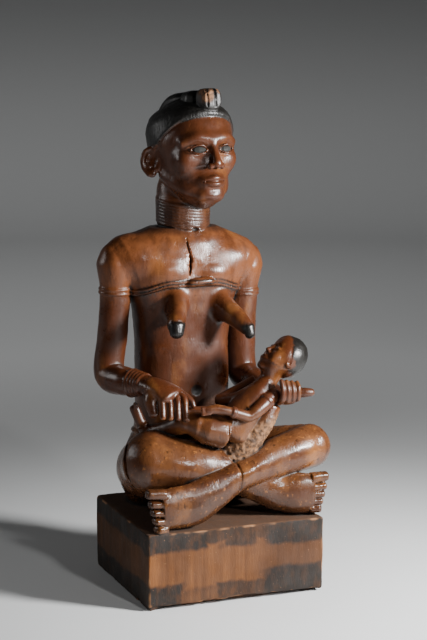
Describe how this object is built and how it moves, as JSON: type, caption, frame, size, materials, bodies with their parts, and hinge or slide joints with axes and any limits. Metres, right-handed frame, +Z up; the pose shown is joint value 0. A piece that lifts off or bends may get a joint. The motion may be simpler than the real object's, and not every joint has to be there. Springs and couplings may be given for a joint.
{
  "type": "african maternity figure",
  "caption": "Carved wooden figure of a seated mother with crossed legs, an infant across her lap, on a low rectangular block",
  "frame": {"origin": "the middle of the block's flat underside", "axes": "+Z up, the figure faces -Y, the figure's own left is +X, the block's front and back edges run along X"},
  "size_m": [0.2638, 0.2099, 0.5997],
  "materials": {
    "polished_wood": "oiled and handled to a soft shine, blackened on the hair, the nipples and two bands round the block",
    "eye_glass": "small polished inlay over a grey backing, cloudy"
  },
  "bodies": {
    "root": {"maternity_figure": "polished_wood", "eye_inlay_right": "eye_glass", "eye_inlay_left": "eye_glass"}
  },
  "joints": []
}
